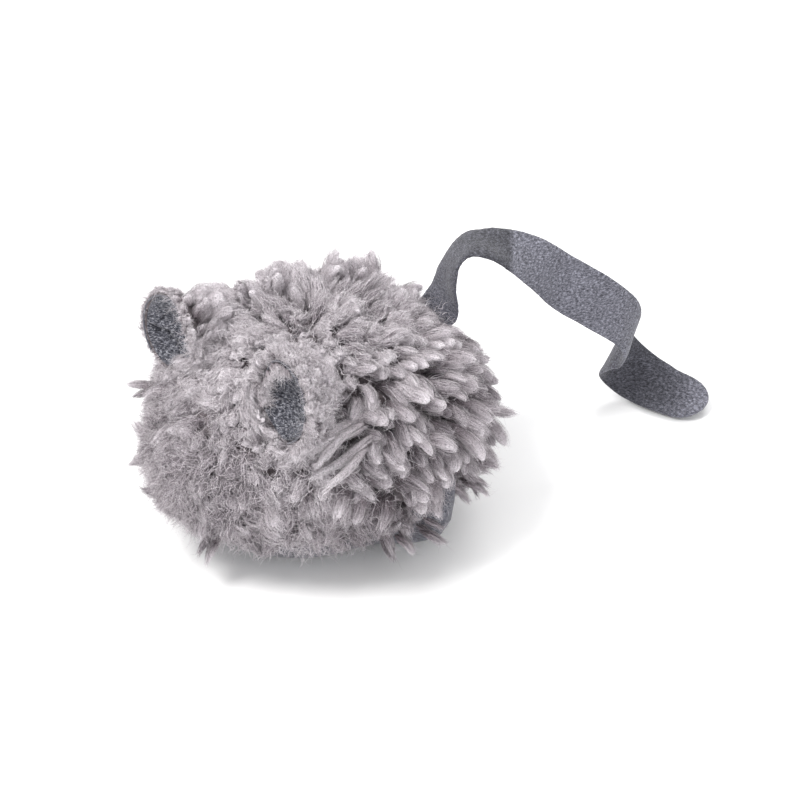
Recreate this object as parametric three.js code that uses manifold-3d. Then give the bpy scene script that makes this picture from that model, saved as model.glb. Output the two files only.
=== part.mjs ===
// A catnip mouse: a plush body on a felt belly, two cupped ears and one flat felt tail strip.
// Millimetres. The nose points to -Y, the tail to +Y, the mouse's left is +X and +Z is up.
// The origin is the middle of the flat of the belly, which rests on the floor.
import * as THREE from "three";
import { mergeVertices } from "three/addons/utils/BufferGeometryUtils.js";
import Module from "manifold-3d";

const wasm = await Module();
wasm.setup();

// Clearances and stock
const CLEARANCE = 0.3;
const THREAD = 0.5;
const FELT = 1.6;

// Body, measured to the middle of the pile's tips
const BODY_LENGTH = 97;
const BODY_WIDTH = 89;
const BODY_HEIGHT = 62;
const FULLEST_HEIGHT = 27;
const BODY_SAG = 1.5;
const PLUSH_DEPTH = 9;
const PLUSH_BACKING = 1.2;
const HEM_HEIGHT = 2;
const BELLY_RIM_HEIGHT = 11;

// Tufts of the pile: how far apart they stand, and how deep its surface sinks between them
const TUFT_SPACING = 9.5;
const TUFT_DEPTH = 4;
const tuftTopShare = 0.35;

// Shape of the body: exponents of its rounded outline, and how far it narrows and drops to its ends
const lengthRoundness = 2.15;
const backRoundness = 2.15;
const bellyRoundness = 2;
const noseNarrowingShare = 0.3;
const rumpNarrowingShare = 0.1;
const headDropShare = 0.3;
const rumpDropShare = 0.12;

// Ears
const EAR_DIAMETER = 18;
const EAR_BOWL_DEPTH = 5;
const EAR_FELT = 1.2;
const EAR_PILE = 4.5;
const EAR_RIM = 1.5;
const EAR_NECK_WIDTH = 3.6;
const EAR_STEM = 2.4;
const EAR_TUCK = 1.6;
const EAR_SINK = 4.8;
const EAR_POCKET_RADIUS = 9;
const EAR_BEHIND_NOSE = 24;
const earPleatShare = 0.45;
const earNeckShare = 0.25;
const earEdgeSharpness = 4;
const earEdgeStart = -30;
const earEdgeTurn = 240;
const earRingAngle = 71;
const leftEarSplay = 72;
const rightEarSplay = 80;
const leftEarTurn = -10;
const rightEarTurn = -5;
const earFoldBack = 15;
const earFoldForward = 30;

// Tail, a flat strip that arches, falls and folds back under itself
const TAIL_WIDTH = 15.5;
const TAIL_TAB_WIDTH = 6.5;
const TAIL_FLARE_START = 3.5;
const TAIL_FLARE_LENGTH = 5;
const TAIL_ARCH_HEIGHT = 60;
const TAIL_DRIFT = 38.5;
const TAIL_REACH = 67.4;
const TAIL_SINK = 1.5;
const TAIL_BEFORE_RUMP = 4.9;
const tailTipRoundness = 2.4;
const tailTipBluntShare = 0.06;
const tailRootCrowdingShare = 0.35;
const tailLiftDown = 3;
const tailLiftUp = 25;
const tailSwing = 20;

// Root pocket in which the tail turns
const POCKET_RADIUS = 4.5;

// Filling and sachet
const SACHET_LENGTH = 34;
const SACHET_WIDTH = 26;
const SACHET_THICKNESS = 9;
const SACHET_HEM = 3;
const SACHET_SHEET = 0.6;
const SACHET_HEIGHT = 27;

// Closing stitch, beside the tail end of the belly seam
const CLOSING_LENGTH = 22;
const CLOSING_STITCH = 3.2;
const CLOSING_RISE = 1.6;
const closingStart = 20;

// Fineness of the round forms, in counts
const tufts = 230;
const tuftedRows = 34;
const tuftedSpokes = 52;
const bodyRows = 20;
const bodySpokes = 28;
const coreRows = 14;
const coreSpokes = 20;
const ballRows = 10;
const ballSpokes = 18;
const earRings = 4;
const earSpokes = 20;
const tailSteps = 60;
const tailStrands = 2;
const threadSides = 6;
const threadSteps = 34;
const loopSteps = 16;
const sachetSpokes = 20;
const domeSteps = 4;

const plushGrey = new THREE.MeshStandardMaterial({ color: 0xb3a9ae, roughness: 0.95, metalness: 0 });
const slateFelt = new THREE.MeshStandardMaterial({ color: 0x60606b, roughness: 0.9, metalness: 0 });
const greyThread = new THREE.MeshStandardMaterial({ color: 0x8c858b, roughness: 0.7, metalness: 0 });
const whiteFibre = new THREE.MeshStandardMaterial({ color: 0xe9e7e2, roughness: 1, metalness: 0 });
const pouchSheet = new THREE.MeshStandardMaterial({ color: 0xdcdad2, roughness: 0.9, metalness: 0 });
const driedHerb = new THREE.MeshStandardMaterial({ color: 0x7d8450, roughness: 1, metalness: 0 });

const radians = THREE.MathUtils.degToRad;
const vector = (x, y, z) => new THREE.Vector3(x, y, z);
const X_AXIS = vector(1, 0, 0);
const Z_AXIS = vector(0, 0, 1);

// A closed geometry from its points and its triangles or four-sided faces.
function closedGeometry(points, faces) {
  const geometry = new THREE.BufferGeometry();
  const numbers = points.flatMap((p) => p.toArray());
  geometry.setAttribute("position", new THREE.Float32BufferAttribute(numbers, 3));
  const split = (f) => (f.length === 4 ? [f[0], f[1], f[2], f[0], f[2], f[3]] : f);
  geometry.setIndex(faces.flatMap(split));
  return geometry;
}

// Rows of rings with a point at each end, wound so that the faces point out.
function ringedGeometry(first, rings, last) {
  const spokes = rings[0].length;
  const points = [first, ...rings.flat(), last];
  const at = (row, spoke) => 1 + row * spokes + (spoke % spokes);
  const faces = [];
  for (let j = 0; j < spokes; j++) {
    faces.push([0, at(0, j + 1), at(0, j)]);
    for (let i = 0; i + 1 < rings.length; i++) {
      faces.push([at(i, j), at(i, j + 1), at(i + 1, j + 1), at(i + 1, j)]);
    }
    faces.push([points.length - 1, at(rings.length - 1, j), at(rings.length - 1, j + 1)]);
  }
  return closedGeometry(points, faces);
}

// Booleans work on solids whose faces point out, and the finished solid goes back to a geometry.
function solidOf(geometry) {
  const bare = geometry.index ? geometry.clone() : mergeVertices(geometry);
  bare.deleteAttribute("normal");
  bare.deleteAttribute("uv");
  const merged = mergeVertices(bare);
  const make = (corners) => new wasm.Manifold(new wasm.Mesh({
    numProp: 3,
    vertProperties: new Float32Array(merged.attributes.position.array),
    triVerts: new Uint32Array(corners),
  }));
  const corners = Array.from(merged.index.array);
  const solid = make(corners);
  return solid.volume() > 0 ? solid : make(corners.reverse());
}

function geometryOf(solid) {
  const mesh = solid.getMesh();
  const geometry = new THREE.BufferGeometry();
  geometry.setAttribute("position", new THREE.BufferAttribute(new Float32Array(mesh.vertProperties), 3));
  geometry.setIndex(new THREE.BufferAttribute(new Uint32Array(mesh.triVerts), 1));
  geometry.computeVertexNormals();
  return geometry;
}

const difference = (solid, ...cutters) => cutters.reduce((left, cutter) => left.subtract(cutter), solid);
const union = (solid, ...others) => others.reduce((sum, other) => sum.add(other), solid);

// A box between two corners, as a solid.
function boxSolid(low, high) {
  const size = high.clone().sub(low);
  const middle = high.clone().add(low).divideScalar(2);
  return solidOf(new THREE.BoxGeometry(size.x, size.y, size.z).translate(middle.x, middle.y, middle.z));
}

const REACH = BODY_LENGTH + BODY_WIDTH + BODY_HEIGHT;
const slab = (from, to) => boxSolid(vector(-REACH, -REACH, from), vector(REACH, REACH, to));
const halfX = (from, to) => boxSolid(vector(from, -REACH, -REACH), vector(to, REACH, REACH));
const halfY = (from, to) => boxSolid(vector(-REACH, from, -REACH), vector(REACH, to, REACH));
const ball = (centre, radius) => solidOf(
  new THREE.SphereGeometry(radius, ballSpokes, ballRows)
    .rotateX(Math.PI / 2)
    .translate(centre.x, centre.y, centre.z),
);

// The body's form. Sizes are half the length, half the width, and the reach above and below
// the fullest height.
const pileForm = {
  half: BODY_LENGTH / 2,
  side: BODY_WIDTH / 2,
  rise: BODY_HEIGHT - FULLEST_HEIGHT,
  drop: FULLEST_HEIGHT + BODY_SAG,
};

const coreForm = {
  half: pileForm.half - PLUSH_DEPTH,
  side: pileForm.side - PLUSH_DEPTH,
  rise: pileForm.rise - PLUSH_DEPTH,
  drop: FULLEST_HEIGHT + BODY_SAG,
};

const inset = (form, by) => ({
  half: form.half - by,
  side: form.side - by,
  rise: form.rise - by,
  drop: form.drop - by,
});

const power = (value, exponent) => Math.sign(value) * Math.abs(value) ** exponent;

// How much of its width and of its rise the form keeps at a way along it, -1 nose to 1 rump.
const easedShare = (lengthwise, noseShare, rumpShare) =>
  1 - (lengthwise < 0 ? noseShare : rumpShare) * lengthwise ** 2;
const narrowing = (lengthwise) => easedShare(lengthwise, noseNarrowingShare, rumpNarrowingShare);
const lowering = (lengthwise) => easedShare(lengthwise, headDropShare, rumpDropShare);

// A point of the form: the way along it from the nose, 0 to 180, and round it from the left side
// over the back, 0 to 360.
function formPoint(form, along, round) {
  const lengthwise = -power(Math.cos(radians(along)), 2 / lengthRoundness);
  const reach = Math.abs(Math.sin(radians(along))) ** (2 / lengthRoundness);
  const across = Math.cos(radians(round));
  const upward = Math.sin(radians(round));
  const roundness = upward > 0 ? backRoundness : bellyRoundness;
  const vertical = upward > 0 ? form.rise * lowering(lengthwise) : form.drop;
  return vector(
    form.side * narrowing(lengthwise) * reach * power(across, 2 / roundness),
    form.half * lengthwise,
    FULLEST_HEIGHT + vertical * reach * power(upward, 2 / roundness),
  );
}

function formSolid(form, rows, spokes) {
  const rings = [];
  for (let i = 1; i < rows; i++) {
    const ring = [];
    for (let j = 0; j < spokes; j++) {
      ring.push(formPoint(form, (180 * i) / rows, (360 * j) / spokes));
    }
    rings.push(ring);
  }
  return solidOf(ringedGeometry(formPoint(form, 0, 0), rings, formPoint(form, 180, 0)));
}
const coreSolidOf = (form) => formSolid(form, coreRows, coreSpokes);

// Tufts stand evenly over the form from nose to rump, each a golden turn further round it.
const goldenTurn = 180 * (3 - Math.sqrt(5));
const tuftPlaces = [];
for (let k = 0; k < tufts; k++) {
  const lengthwise = (2 * k) / (tufts - 1) - 1;
  const along = THREE.MathUtils.radToDeg(Math.acos(-power(lengthwise, lengthRoundness / 2)));
  tuftPlaces.push(formPoint(pileForm, along, (k * goldenTurn) % 360));
}

// The pile's form, sunk between the tufts.
function tuftedSolid(rows, spokes) {
  const tuftReach = TUFT_SPACING / Math.sqrt(3);
  const placeAt = (along, round) => {
    const place = formPoint(pileForm, along, round);
    const nearest = Math.min(...tuftPlaces.map((tuft) => tuft.distanceTo(place)));
    const sunk = TUFT_DEPTH * THREE.MathUtils.smoothstep(nearest, tuftReach * tuftTopShare, tuftReach);
    return formPoint({ ...inset(pileForm, sunk), drop: pileForm.drop }, along, round);
  };
  const rings = [];
  for (let i = 1; i < rows; i++) {
    const ring = [];
    for (let j = 0; j < spokes; j++) ring.push(placeAt((180 * i) / rows, (360 * j) / spokes));
    rings.push(ring);
  }
  return solidOf(ringedGeometry(placeAt(0, 0), rings, placeAt(180, 0)));
}

// A point of the form's outline at one height, the turn counted from the left side to the rump.
function outlinePoint(form, height, turn) {
  const share = Math.abs(height - FULLEST_HEIGHT) / form.drop;
  const tail = (1 - share ** lengthRoundness) ** (1 / lengthRoundness);
  const lengthwise = tail * power(Math.sin(radians(turn)), 2 / lengthRoundness);
  const reach = (1 - Math.abs(lengthwise) ** lengthRoundness) ** (1 / lengthRoundness);
  const left = Math.max(reach ** bellyRoundness - share ** bellyRoundness, 0) ** (1 / bellyRoundness);
  const side = Math.cos(radians(turn)) < 0 ? -1 : 1;
  return vector(side * form.side * narrowing(lengthwise) * left, form.half * lengthwise, height);
}

// A point sunk under the pile's surface, square to it.
function seatOn(along, round, sink) {
  const step = 1;
  const point = formPoint(pileForm, along, round);
  const ahead = formPoint(pileForm, along + step, round).sub(formPoint(pileForm, along - step, round));
  const over = formPoint(pileForm, along, round + step).sub(formPoint(pileForm, along, round - step));
  const outward = over.cross(ahead).normalize();
  if (outward.dot(point.clone().sub(vector(0, 0, FULLEST_HEIGHT))) < 0) outward.negate();
  return point.addScaledVector(outward, -sink);
}

// The way along the form at a distance from its middle, towards the rump if it is positive.
const alongAt = (distance) => {
  const share = distance / pileForm.half;
  return THREE.MathUtils.radToDeg(Math.acos(-power(share, lengthRoundness / 2)));
};

// A thread or other thin round cord along points, closed on itself or capped.
function threadSolid(points, thickness, closed) {
  const count = points.length;
  const tangents = points.map((p, i) => {
    const next = points[closed ? (i + 1) % count : Math.min(i + 1, count - 1)];
    const last = points[closed ? (i + count - 1) % count : Math.max(i - 1, 0)];
    return next.clone().sub(last).normalize();
  });
  const side = Math.abs(tangents[0].z) < Math.SQRT1_2 ? Z_AXIS.clone() : X_AXIS.clone();
  const rings = points.map((p, i) => {
    side.addScaledVector(tangents[i], -side.dot(tangents[i])).normalize();
    const up = tangents[i].clone().cross(side);
    const ring = [];
    for (let j = 0; j < threadSides; j++) {
      const turn = (2 * Math.PI * j) / threadSides;
      const out = side.clone().multiplyScalar(Math.cos(turn)).addScaledVector(up, Math.sin(turn));
      ring.push(p.clone().addScaledVector(out, thickness / 2));
    }
    return ring;
  });
  if (!closed) return solidOf(ringedGeometry(points[0], rings, points[count - 1]));
  const at = (row, spoke) => (row % count) * threadSides + (spoke % threadSides);
  const faces = [];
  for (let i = 0; i < count; i++) {
    for (let j = 0; j < threadSides; j++) {
      faces.push([at(i, j), at(i, j + 1), at(i + 1, j + 1), at(i + 1, j)]);
    }
  }
  return solidOf(closedGeometry(rings.flat(), faces));
}

// A solid turned about an axis through a point.
function turned(solid, centre, axis, degrees) {
  const matrix = new THREE.Matrix4().makeTranslation(centre.x, centre.y, centre.z)
    .multiply(new THREE.Matrix4().makeRotationAxis(axis, radians(degrees)))
    .multiply(new THREE.Matrix4().makeTranslation(-centre.x, -centre.y, -centre.z));
  return solid.transform(matrix.elements);
}

const mouse = new THREE.Group();
function addPiece(name, solid, material) {
  const mesh = new THREE.Mesh(geometryOf(solid), material);
  mesh.name = name;
  mouse.add(mesh);
}

// Where the ears and the tail are rooted
const earRoot = (hand) => {
  const root = seatOn(alongAt(EAR_BEHIND_NOSE - pileForm.half), earRingAngle, EAR_SINK);
  return vector(hand * root.x, root.y, root.z);
};
const tailRoot = seatOn(alongAt(pileForm.half - TAIL_BEFORE_RUMP), 90, TAIL_SINK);

// Plush side panels: the depth of backing and pile, parted at the back seam. The pile is parted
// round each root too, down to the backing.
const backing = coreSolidOf(inset(coreForm, -PLUSH_BACKING));
const pockets = [
  difference(ball(earRoot(1), EAR_POCKET_RADIUS), backing),
  difference(ball(earRoot(-1), EAR_POCKET_RADIUS), backing),
  difference(ball(tailRoot, POCKET_RADIUS), backing),
];
const pile = tuftedSolid(tuftedRows, tuftedSpokes);
const seamGap = THREAD + 2 * CLEARANCE;
const seamGroove = coreSolidOf(inset(coreForm, -seamGap)).intersect(halfX(-seamGap / 2, seamGap / 2));
const plush = difference(pile, coreSolidOf(coreForm), slab(-REACH, HEM_HEIGHT), seamGroove, ...pockets);
addPiece("plush_side_left", difference(plush, halfX(-REACH, CLEARANCE / 2)), plushGrey);
addPiece("plush_side_right", difference(plush, halfX(-CLEARANCE / 2, REACH)), plushGrey);

// Belly panel: flat where it rests, turned up to the seam
const panelForm = inset(coreForm, CLEARANCE);
const panelOuter = difference(coreSolidOf(panelForm), slab(-REACH, 0), slab(BELLY_RIM_HEIGHT, REACH));
const panelInner = difference(coreSolidOf(inset(panelForm, FELT)), slab(-REACH, FELT));
addPiece("belly_panel", difference(panelOuter, panelInner), slateFelt);

// Seam threads
const threadDepth = CLEARANCE + FELT / 2;
const bellySeamHeight = BELLY_RIM_HEIGHT + CLEARANCE + THREAD / 2;
const bellySeam = [];
for (let i = 0; i < threadSteps; i++) {
  const turn = (360 * (2 * i + 1)) / (2 * threadSteps);
  bellySeam.push(outlinePoint(inset(coreForm, threadDepth), bellySeamHeight, turn));
}
addPiece("belly_seam_thread", threadSolid(bellySeam, THREAD, true), greyThread);

const backSeamForm = inset(coreForm, -CLEARANCE - THREAD / 2);
const backSeam = [];
const backSeamStart = alongAt(-coreForm.half);
const backSeamEnd = alongAt(pileForm.half - TAIL_BEFORE_RUMP - POCKET_RADIUS - THREAD);
for (let i = 0; i <= threadSteps; i++) {
  const along = backSeamStart + ((backSeamEnd - backSeamStart) * i) / threadSteps;
  backSeam.push(formPoint(backSeamForm, along, 90));
}
addPiece("back_seam_thread", threadSolid(backSeam, THREAD, false), greyThread);

const closingHeight = bellySeamHeight + THREAD + 2 * CLEARANCE;
const closingStitches = Math.round(CLOSING_LENGTH / CLOSING_STITCH);
const closingForm = inset(coreForm, threadDepth);
const closingSeam = [];
for (let i = 0; i <= 2 * closingStitches; i++) {
  const height = closingHeight + (i % 2) * CLOSING_RISE;
  const turn = THREE.MathUtils.radToDeg((i * CLOSING_LENGTH) / (2 * closingStitches) / coreForm.half);
  closingSeam.push(outlinePoint(closingForm, height, closingStart + turn));
}
addPiece("closing_stitch_thread", threadSolid(closingSeam, THREAD, false), greyThread);

// Filling in two wads, which close round the sachet
const fillingFloor = FELT + CLEARANCE;
const seamRoom = closingHeight + CLOSING_RISE + THREAD / 2 + CLEARANCE;
const fillingLow = difference(
  coreSolidOf(inset(coreForm, 2 * CLEARANCE + FELT)),
  slab(-REACH, fillingFloor),
  slab(seamRoom, REACH),
);
const fillingHigh = difference(coreSolidOf(inset(coreForm, CLEARANCE)), slab(-REACH, seamRoom - CLEARANCE));
const sachetBlock = solidOf(
  new THREE.SphereGeometry(1, sachetSpokes, domeSteps * 2)
    .rotateX(Math.PI / 2)
    .scale(
      SACHET_LENGTH / 2 + 2 * CLEARANCE,
      SACHET_WIDTH / 2 + 2 * CLEARANCE,
      SACHET_THICKNESS / 2 + CLEARANCE,
    )
    .translate(0, 0, SACHET_HEIGHT),
);
const sachetHemBlock = solidOf(
  new THREE.CylinderGeometry(1, 1, 1, sachetSpokes)
    .rotateX(Math.PI / 2)
    .scale(SACHET_LENGTH / 2 + CLEARANCE, SACHET_WIDTH / 2 + CLEARANCE, 2 * SACHET_SHEET + 3 * CLEARANCE)
    .translate(0, 0, SACHET_HEIGHT),
);
const filling = difference(union(fillingLow, fillingHigh), sachetBlock, sachetHemBlock);
addPiece("filling_front", difference(filling, halfY(-CLEARANCE / 2, REACH)), whiteFibre);
addPiece("filling_rear", difference(filling, halfY(-REACH, CLEARANCE / 2)), whiteFibre);

// Sachet: a domed sheet above and one below, sealed at the hem, with the herb between
const unitRadius = SACHET_LENGTH / 2;
const domeRadius = unitRadius - SACHET_HEM;
const domeRise = SACHET_THICKNESS / 2 - SACHET_SHEET;
function sachetSheet(side) {
  const profile = [];
  for (let i = 0; i <= domeSteps; i++) {
    const turn = (Math.PI / 2) * (i / domeSteps);
    const rise = domeRise * Math.cos(turn) + SACHET_SHEET;
    profile.push(new THREE.Vector2(i ? domeRadius * Math.sin(turn) : 0, rise));
  }
  profile.push(new THREE.Vector2(unitRadius, SACHET_SHEET));
  profile.push(new THREE.Vector2(unitRadius, 0));
  for (let i = domeSteps; i >= 0; i--) {
    const turn = (Math.PI / 2) * (i / domeSteps);
    const radius = (domeRadius - SACHET_SHEET) * Math.sin(turn);
    profile.push(new THREE.Vector2(i ? radius : 0, domeRise * Math.cos(turn)));
  }
  const sheet = new THREE.LatheGeometry(profile.reverse(), sachetSpokes).rotateX(Math.PI / 2);
  if (side < 0) sheet.rotateX(Math.PI);
  sheet.scale(1, SACHET_WIDTH / SACHET_LENGTH, 1).translate(0, 0, SACHET_HEIGHT + (side * CLEARANCE) / 2);
  return solidOf(sheet);
}
addPiece("sachet_upper_sheet", sachetSheet(1), pouchSheet);
addPiece("sachet_lower_sheet", sachetSheet(-1), pouchSheet);

const herbRadius = domeRadius - SACHET_SHEET - CLEARANCE;
const herb = new THREE.SphereGeometry(1, sachetSpokes, domeSteps * 2)
  .rotateX(Math.PI / 2)
  .scale(herbRadius, (herbRadius * SACHET_WIDTH) / SACHET_LENGTH, domeRise - CLEARANCE)
  .translate(0, 0, SACHET_HEIGHT);
addPiece("catnip_herb", solidOf(herb), driedHerb);

// Ears. Each is a bowl of two layers that opens forward, drawn in at its root.
function earFrame(hand, splay, turn) {
  const up = vector(hand * Math.sin(radians(splay)), 0, Math.cos(radians(splay)));
  const face = vector(0, -1, 0).applyAxisAngle(up, radians(hand * turn));
  const across = up.clone().cross(face);
  return { hand, root: earRoot(hand), up, face, across };
}

// A point of the ear's layer: its distance from the bowl's middle as a share of the ear's radius,
// the angle round it, and its depth behind the bowl's surface.
function earPoint(ear, share, angle, behind) {
  const radius = EAR_DIAMETER / 2;
  const height = radius * (1 + share * Math.sin(angle));
  const drawn = THREE.MathUtils.smoothstep(height, 0, radius);
  const width = radius * share * Math.cos(angle) * (earPleatShare + (1 - earPleatShare) * drawn);
  const slope = (2 * EAR_BOWL_DEPTH * share) / radius;
  const normal = ear.face.clone()
    .addScaledVector(ear.across, -slope * Math.cos(angle))
    .addScaledVector(ear.up, -slope * Math.sin(angle))
    .normalize();
  return ear.root.clone()
    .addScaledVector(ear.up, EAR_STEM + height)
    .addScaledVector(ear.across, width)
    .addScaledVector(ear.face, EAR_BOWL_DEPTH * share * share)
    .addScaledVector(normal, -behind);
}

// A layer between two depths, whose edge lies at a share of the ear's radius.
function earLayer(ear, edgeShare, front, back, backEdge) {
  const ringAt = (share, behind) => {
    const ring = [];
    for (let j = 0; j < earSpokes; j++) {
      ring.push(earPoint(ear, share, (2 * Math.PI * j) / earSpokes, behind));
    }
    return ring;
  };
  const rings = [];
  for (let i = 1; i <= earRings; i++) rings.push(ringAt((edgeShare * i) / earRings, front));
  for (let i = earRings; i >= 1; i--) {
    const share = i / earRings;
    rings.push(ringAt(edgeShare * share, back + (backEdge - back) * share ** earEdgeSharpness));
  }
  return solidOf(ringedGeometry(earPoint(ear, 0, 0, front), rings, earPoint(ear, 0, 0, back)));
}

// The drawn-in root of the ear's back, from its tuck in the pile up behind the bowl.
function earNeck(ear) {
  const radius = EAR_NECK_WIDTH / 2;
  const top = EAR_STEM + EAR_DIAMETER * earNeckShare;
  const profile = [
    new THREE.Vector2(0, -EAR_TUCK),
    new THREE.Vector2(radius, radius - EAR_TUCK),
    new THREE.Vector2(radius, top),
    new THREE.Vector2(0, top),
  ];
  const place = new THREE.Matrix4().makeBasis(ear.across, ear.up, ear.face).setPosition(ear.root);
  const neck = solidOf(new THREE.LatheGeometry(profile, threadSides * 2).applyMatrix4(place));
  const liningRoom = solidOf(new THREE.BoxGeometry(REACH, REACH, REACH)
    .translate(0, REACH / 2 + EAR_STEM - CLEARANCE, REACH / 2 - EAR_FELT - CLEARANCE)
    .applyMatrix4(place));
  return difference(neck, liningRoom);
}

const grownBacking = coreSolidOf(inset(coreForm, -PLUSH_BACKING - CLEARANCE));
const grownPile = formSolid(inset(pileForm, -CLEARANCE), bodyRows, bodySpokes);
const leftEar = ["left", 1, leftEarSplay, leftEarTurn];
const rightEar = ["right", -1, rightEarSplay, rightEarTurn];
for (const [side, hand, splay, turn] of [leftEar, rightEar]) {
  const ear = earFrame(hand, splay, turn);
  const room = difference(ball(ear.root, EAR_POCKET_RADIUS - CLEARANCE), grownBacking);
  const partedPile = difference(grownPile, room);
  const keepOut = [0, earFoldBack, -earFoldForward].map((fold) =>
    turned(partedPile, ear.root, ear.across, fold));
  const rimShare = 1 + (2 * EAR_RIM) / EAR_DIAMETER;
  const layerGap = EAR_FELT + CLEARANCE;
  const lining = earLayer(ear, 1, 0, EAR_FELT, EAR_FELT);
  const pileBack = earLayer(ear, rimShare, layerGap, layerGap + EAR_PILE, layerGap + EAR_FELT);
  const edge = [];
  for (let i = 0; i <= threadSteps; i++) {
    const angle = radians(earEdgeStart + (earEdgeTurn * i) / threadSteps);
    const share = 1 + (2 * CLEARANCE + THREAD) / EAR_DIAMETER;
    edge.push(earPoint(ear, share, angle, EAR_FELT - CLEARANCE - THREAD / 2));
  }
  const loop = [];
  const loopRadius = EAR_NECK_WIDTH / 2 + CLEARANCE + THREAD / 2;
  for (let i = 0; i < loopSteps; i++) {
    const angle = (2 * Math.PI * i) / loopSteps;
    loop.push(ear.root.clone()
      .addScaledVector(ear.across, loopRadius * Math.cos(angle))
      .addScaledVector(ear.face, loopRadius * Math.sin(angle)));
  }
  const threadGroove = threadSolid(loop, THREAD + 2 * CLEARANCE, true);
  const back = difference(union(pileBack, earNeck(ear)), threadGroove, ...keepOut);
  addPiece(`ear_${side}_lining`, difference(lining, ...keepOut), slateFelt);
  addPiece(`ear_${side}_back`, back, plushGrey);
  addPiece(`ear_${side}_edge_thread`, difference(threadSolid(edge, THREAD, false), ...keepOut), greyThread);
  addPiece(`ear_${side}_root_thread`, threadSolid(loop, THREAD, true), greyThread);
}

// Tail. Each station of the strip's middle line is a share of the drift, the reach and the
// height, with the turn and the dip of the strip's width in degrees. While the strip rises the
// height counts from the root to the top of the arch, and afterwards from the floor.
const riseStationShares = [
  [0, -0.03, -0.13, 0, 0],
  [0, 0, 0, 0, 0],
  [0, 0.045, 0.27, -15, 5],
  [0, 0.064, 0.56, -28, 6],
  [0.01, 0.09, 0.83, -34, 7],
];
const fallStationShares = [
  [0.06, 0.138, 1, -37, 5],
  [0.14, 0.195, 1, -40, -2],
  [0.215, 0.252, 0.975, -44, -12],
  [0.345, 0.356, 0.89, -58, -29],
  [0.445, 0.452, 0.78, -70, -38],
  [0.58, 0.547, 0.69, -71, -40],
  [0.7, 0.641, 0.59, -65, -34],
  [0.715, 0.684, 0.525, -63, -32],
  [0.68, 0.717, 0.455, -64, -33],
  [0.61, 0.741, 0.39, -66, -34],
  [0.52, 0.755, 0.34, -70, -36],
  [0.44, 0.774, 0.29, -79, -38],
  [0.385, 0.807, 0.235, -89, -39],
  [0.375, 0.85, 0.17, -94, -38],
  [0.425, 0.888, 0.115, -91, -36],
  [0.525, 0.912, 0.083, -84, -30],
  [0.64, 0.928, 0.07, -80, -24],
  [0.78, 0.952, 0.06, -78, -19],
  [1, 1, 0.048, -76, -6],
];
const tailPlace = (station, height) => vector(
  TAIL_DRIFT * station[0],
  tailRoot.y + TAIL_REACH * station[1],
  height,
);
const tailPlaces = [
  ...riseStationShares.map((s) => tailPlace(s, tailRoot.z + (TAIL_ARCH_HEIGHT - tailRoot.z) * s[2])),
  ...fallStationShares.map((s) => tailPlace(s, TAIL_ARCH_HEIGHT * s[2])),
];
const tailLine = new THREE.CatmullRomCurve3(tailPlaces, false, "centripetal");
const tailLean = new THREE.CatmullRomCurve3(
  [...riseStationShares, ...fallStationShares].map((s) => vector(s[3], s[4], 0)),
  false,
  "catmullrom",
);

// The strip's half width at a distance along it: a tab at the root, round at the tip.
const tailLength = tailLine.getLength();
function tailHalfWidth(distance) {
  const flareEnd = TAIL_FLARE_START + TAIL_FLARE_LENGTH;
  const flare = THREE.MathUtils.smoothstep(distance, TAIL_FLARE_START, flareEnd);
  const straight = (TAIL_TAB_WIDTH + (TAIL_WIDTH - TAIL_TAB_WIDTH) * flare) / 2;
  const radius = TAIL_WIDTH / 2;
  const past = Math.max(distance - (tailLength - radius), 0) / radius;
  const left = Math.max(1 - past ** tailTipRoundness, 0);
  return straight * Math.max(Math.sqrt(left), tailTipBluntShare);
}

const tailRings = [];
for (let i = 0; i <= tailSteps; i++) {
  const step = i / tailSteps;
  const along = THREE.MathUtils.lerp(step, Math.sin((Math.PI / 2) * step), tailRootCrowdingShare);
  const parameter = tailLine.getUtoTmapping(along);
  const centre = tailLine.getPoint(parameter);
  const tangent = tailLine.getTangent(parameter);
  const lean = tailLean.getPoint(parameter);
  const width = vector(
    Math.cos(radians(lean.x)) * Math.cos(radians(lean.y)),
    Math.sin(radians(lean.x)) * Math.cos(radians(lean.y)),
    Math.sin(radians(lean.y)),
  );
  width.addScaledVector(tangent, -width.dot(tangent)).normalize();
  const outward = width.clone().cross(tangent);
  const half = tailHalfWidth(along * tailLength);
  const ring = [];
  for (let j = 0; j <= tailStrands; j++) {
    ring.push(centre.clone()
      .addScaledVector(width, half * ((2 * j) / tailStrands - 1))
      .addScaledVector(outward, FELT / 2));
  }
  for (let j = tailStrands; j >= 0; j--) {
    ring.push(centre.clone()
      .addScaledVector(width, half * ((2 * j) / tailStrands - 1))
      .addScaledVector(outward, -FELT / 2));
  }
  tailRings.push(ring);
}
const middleOf = (ring) => ring.reduce((sum, p) => sum.add(p), vector(0, 0, 0)).divideScalar(ring.length);
const strip = solidOf(ringedGeometry(middleOf(tailRings[0]), tailRings, middleOf(tailRings[tailSteps])));
const tailKeepOut = [];
for (const lift of [tailLiftDown, 0, -tailLiftUp]) {
  for (const swing of [-tailSwing, 0, tailSwing]) {
    const lifted = turned(grownPile, tailRoot, X_AXIS, lift);
    tailKeepOut.push(turned(lifted, tailRoot, Z_AXIS, swing));
  }
}
const rootBall = ball(tailRoot, POCKET_RADIUS - 3 * CLEARANCE - THREAD);
const tailFree = difference(strip, ...tailKeepOut);
addPiece("tail_strip", union(tailFree, strip.intersect(rootBall)), slateFelt);

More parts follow.
